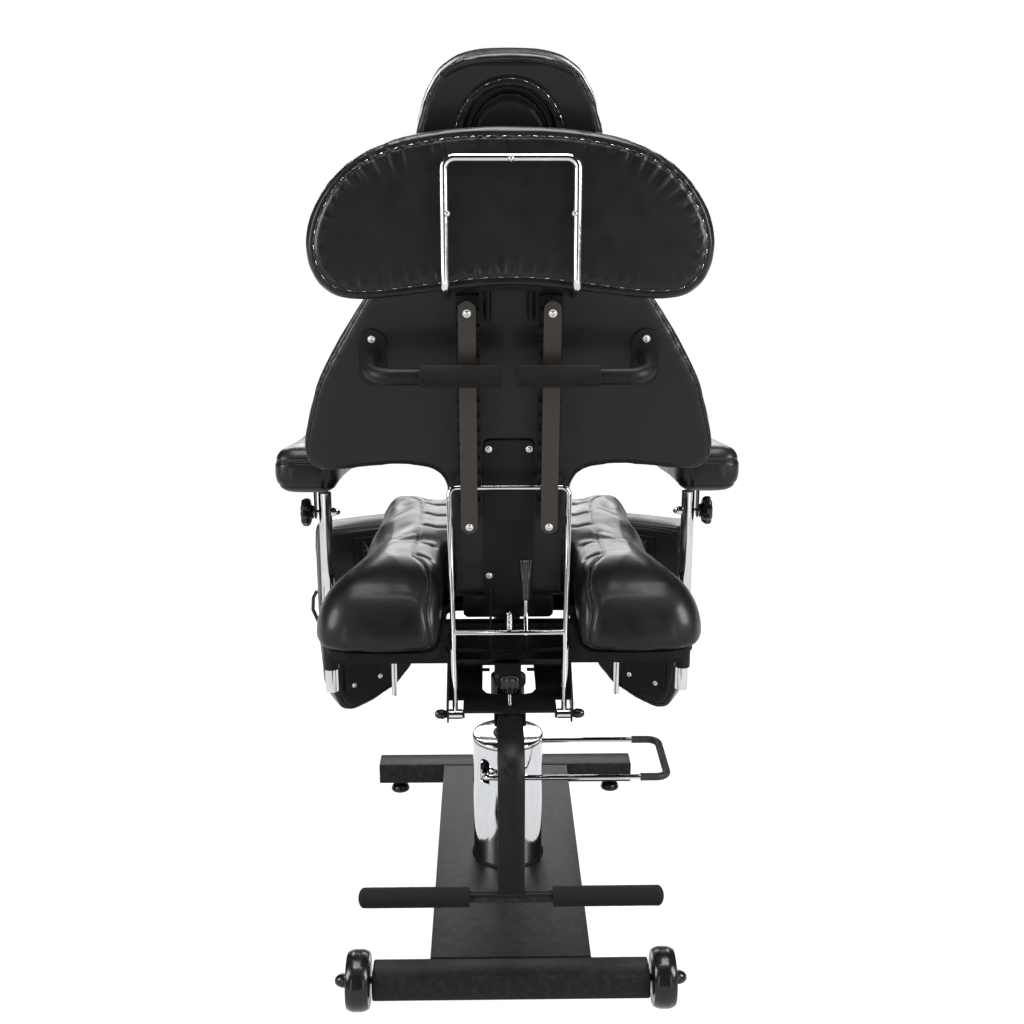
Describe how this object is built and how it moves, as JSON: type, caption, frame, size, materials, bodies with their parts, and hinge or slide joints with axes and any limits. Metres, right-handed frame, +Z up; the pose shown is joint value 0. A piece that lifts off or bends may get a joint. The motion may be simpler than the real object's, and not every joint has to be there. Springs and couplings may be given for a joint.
{
  "type": "hydraulic treatment chair",
  "caption": "Hydraulic treatment chair with swivelling saddle seat, reclining racked backrest, shoulder cushion, face-hole headrest, armrests and splayed leg rests.",
  "frame": {"origin": "centre of the chair's bounding box, on the floor", "axes": "+Z up, +Y the way the client faces, +X to the right seen from behind"},
  "size_m": [0.8574, 0.9997, 1.562],
  "materials": {
    "satin": "satin black powder coat",
    "chrome": "polished chrome",
    "leather": "semi-gloss black leatherette",
    "foam": "matte charcoal foam",
    "gloss": "glossy black",
    "strap": "dark brown-black steel",
    "ply": "black-stained plywood",
    "rubber": "ribbed black rubber",
    "tyre": "glossy black wheel"
  },
  "bodies": {
    "base": {"base_plate": "satin", "front_bar": "satin", "rear_bar": "satin", "wheel_axle": "gloss", "pump_cover": "chrome"},
    "glide_left": {"glide_left": "gloss"},
    "glide_right": {"glide_right": "gloss"},
    "wheel_left": {"wheel_left": "tyre"},
    "wheel_right": {"wheel_right": "tyre"},
    "pedal": {"pedal_rod": "chrome", "pedal_sleeve": "rubber"},
    "lift": {"lift_ram": "chrome"},
    "seat": {"seat_frame": "satin", "seat_board": "ply", "seat_pad": "leather", "tail_bracket": "satin", "hinge_pin": "chrome", "prop_bolt_left": "gloss", "prop_bolt_right": "gloss", "release_lever": "gloss"},
    "footrest": {"footrest_bar": "satin", "footrest_grip_left": "foam", "footrest_grip_right": "foam"},
    "clamp_knob": {"clamp_knob": "gloss"},
    "backrest": {"backrest_pad": "leather", "hinge_plate": "satin", "rack_left": "satin", "rack_right": "satin", "strap_left": "strap", "strap_right": "strap", "handle_left": "satin", "handle_right": "satin", "handle_grip_left": "foam", "handle_grip_right": "foam", "head_socket": "satin"},
    "prop": {"prop_frame": "chrome", "prop_grip": "gloss", "prop_spring": "chrome"},
    "bean": {"bean_pad": "leather", "bean_bar": "chrome"},
    "head_rods": {"head_rods": "chrome"},
    "headrest": {"headrest_pad": "leather", "headrest_plug": "leather", "head_plate": "satin"},
    "arm_post_left": {"arm_post_left": "chrome"},
    "armrest_left": {"armrest_pad_left": "leather", "arm_bracket_left": "satin"},
    "arm_knob_left": {"arm_knob_left": "gloss"},
    "leg_yoke_left": {"leg_yoke_left": "satin", "leg_rod_left": "chrome"},
    "leg_rest_left": {"leg_plate_left": "satin", "leg_pad_left": "leather"},
    "arm_post_right": {"arm_post_right": "chrome"},
    "armrest_right": {"armrest_pad_right": "leather", "arm_bracket_right": "satin"},
    "arm_knob_right": {"arm_knob_right": "gloss"},
    "leg_yoke_right": {"leg_yoke_right": "satin", "leg_rod_right": "chrome"},
    "leg_rest_right": {"leg_plate_right": "satin", "leg_pad_right": "leather"}
  },
  "joints": [
    {"name": "seat_lift", "type": "slide", "parent": "base", "child": "lift", "axis": [0, 0, 1], "range_m": [-0.05, 0.17]},
    {"name": "seat_swivel", "type": "hinge", "parent": "lift", "child": "seat", "pos_m": [0, -0.0605, 0.43], "axis": [0, 0, 1], "continuous": true},
    {"name": "pump_pedal", "type": "hinge", "parent": "base", "child": "pedal", "pos_m": [-0.044, -0.0505, 0.271], "axis": [0, 1, 0], "range_deg": [0, 14], "stiffness_Nm_per_rad": 9, "springref_deg": -20.05},
    {"name": "wheel_left_spin", "type": "hinge", "parent": "base", "child": "wheel_left", "pos_m": [-0.259, -0.4488, 0.051], "axis": [1, 0, 0], "continuous": true},
    {"name": "wheel_right_spin", "type": "hinge", "parent": "base", "child": "wheel_right", "pos_m": [0.259, -0.4488, 0.051], "axis": [1, 0, 0], "continuous": true},
    {"name": "glide_left_turn", "type": "hinge", "parent": "base", "child": "glide_left", "pos_m": [-0.24, 0.3478, 0.02], "axis": [0, 0, 1], "continuous": true},
    {"name": "glide_right_turn", "type": "hinge", "parent": "base", "child": "glide_right", "pos_m": [0.24, 0.3478, 0.02], "axis": [0, 0, 1], "continuous": true},
    {"name": "footrest_slide", "type": "slide", "parent": "seat", "child": "footrest", "axis": [0, -1, 0], "range_m": [-0.05, 0.1]},
    {"name": "clamp_knob_turn", "type": "hinge", "parent": "seat", "child": "clamp_knob", "pos_m": [0, -0.3125, 0.52], "axis": [0, 0, 1], "continuous": true},
    {"name": "backrest_recline", "type": "hinge", "parent": "seat", "child": "backrest", "pos_m": [0, -0.2105, 0.555], "axis": [1, 0, 0], "range_deg": [0, 65]},
    {"name": "prop_swing", "type": "hinge", "parent": "seat", "child": "prop", "pos_m": [0, -0.3105, 0.478], "axis": [1, 0, 0], "range_deg": [0, 70]},
    {"name": "bean_pull", "type": "slide", "parent": "backrest", "child": "bean", "axis": [0, -0.9781, -0.2079], "range_m": [0, 0.1]},
    {"name": "headrest_height", "type": "slide", "parent": "backrest", "child": "head_rods", "axis": [0, -0.2079, 0.9781], "range_m": [0, 0.06]},
    {"name": "headrest_tilt", "type": "hinge", "parent": "head_rods", "child": "headrest", "pos_m": [0, -0.33624, 1.34615], "axis": [1, 0, 0], "range_deg": [-6, 8]},
    {"name": "arm_height_left", "type": "slide", "parent": "seat", "child": "arm_post_left", "axis": [0, 0, 1], "range_m": [0, 0.09]},
    {"name": "arm_tilt_left", "type": "hinge", "parent": "arm_post_left", "child": "armrest_left", "pos_m": [-0.344, 0.0095, 0.752], "axis": [1, 0, 0], "range_deg": [-10, 15]},
    {"name": "arm_knob_turn_left", "type": "hinge", "parent": "arm_post_left", "child": "arm_knob_left", "pos_m": [-0.377, 0.0095, 0.752], "axis": [1, 0, 0], "continuous": true},
    {"name": "leg_splay_left", "type": "hinge", "parent": "seat", "child": "leg_yoke_left", "pos_m": [-0.243, 0.2795, 0.54], "axis": [0, 0, 1], "range_deg": [-25, 12]},
    {"name": "leg_raise_left", "type": "hinge", "parent": "leg_yoke_left", "child": "leg_rest_left", "pos_m": [-0.27258, 0.34294, 0.575], "axis": [0.9063, 0.4226, 0], "range_deg": [0, 85]},
    {"name": "arm_height_right", "type": "slide", "parent": "seat", "child": "arm_post_right", "axis": [0, 0, 1], "range_m": [0, 0.09]},
    {"name": "arm_tilt_right", "type": "hinge", "parent": "arm_post_right", "child": "armrest_right", "pos_m": [0.344, 0.0095, 0.752], "axis": [1, 0, 0], "range_deg": [-10, 15]},
    {"name": "arm_knob_turn_right", "type": "hinge", "parent": "arm_post_right", "child": "arm_knob_right", "pos_m": [0.377, 0.0095, 0.752], "axis": [1, 0, 0], "continuous": true},
    {"name": "leg_splay_right", "type": "hinge", "parent": "seat", "child": "leg_yoke_right", "pos_m": [0.243, 0.2795, 0.54], "axis": [0, 0, -1], "range_deg": [-25, 12]},
    {"name": "leg_raise_right", "type": "hinge", "parent": "leg_yoke_right", "child": "leg_rest_right", "pos_m": [0.27258, 0.34294, 0.575], "axis": [0.9063, -0.4226, 0], "range_deg": [0, 85]}
  ],
  "couplings": [
    {"joint": "prop_swing", "follows": "backrest_recline", "ratio": 1.04}
  ]
}
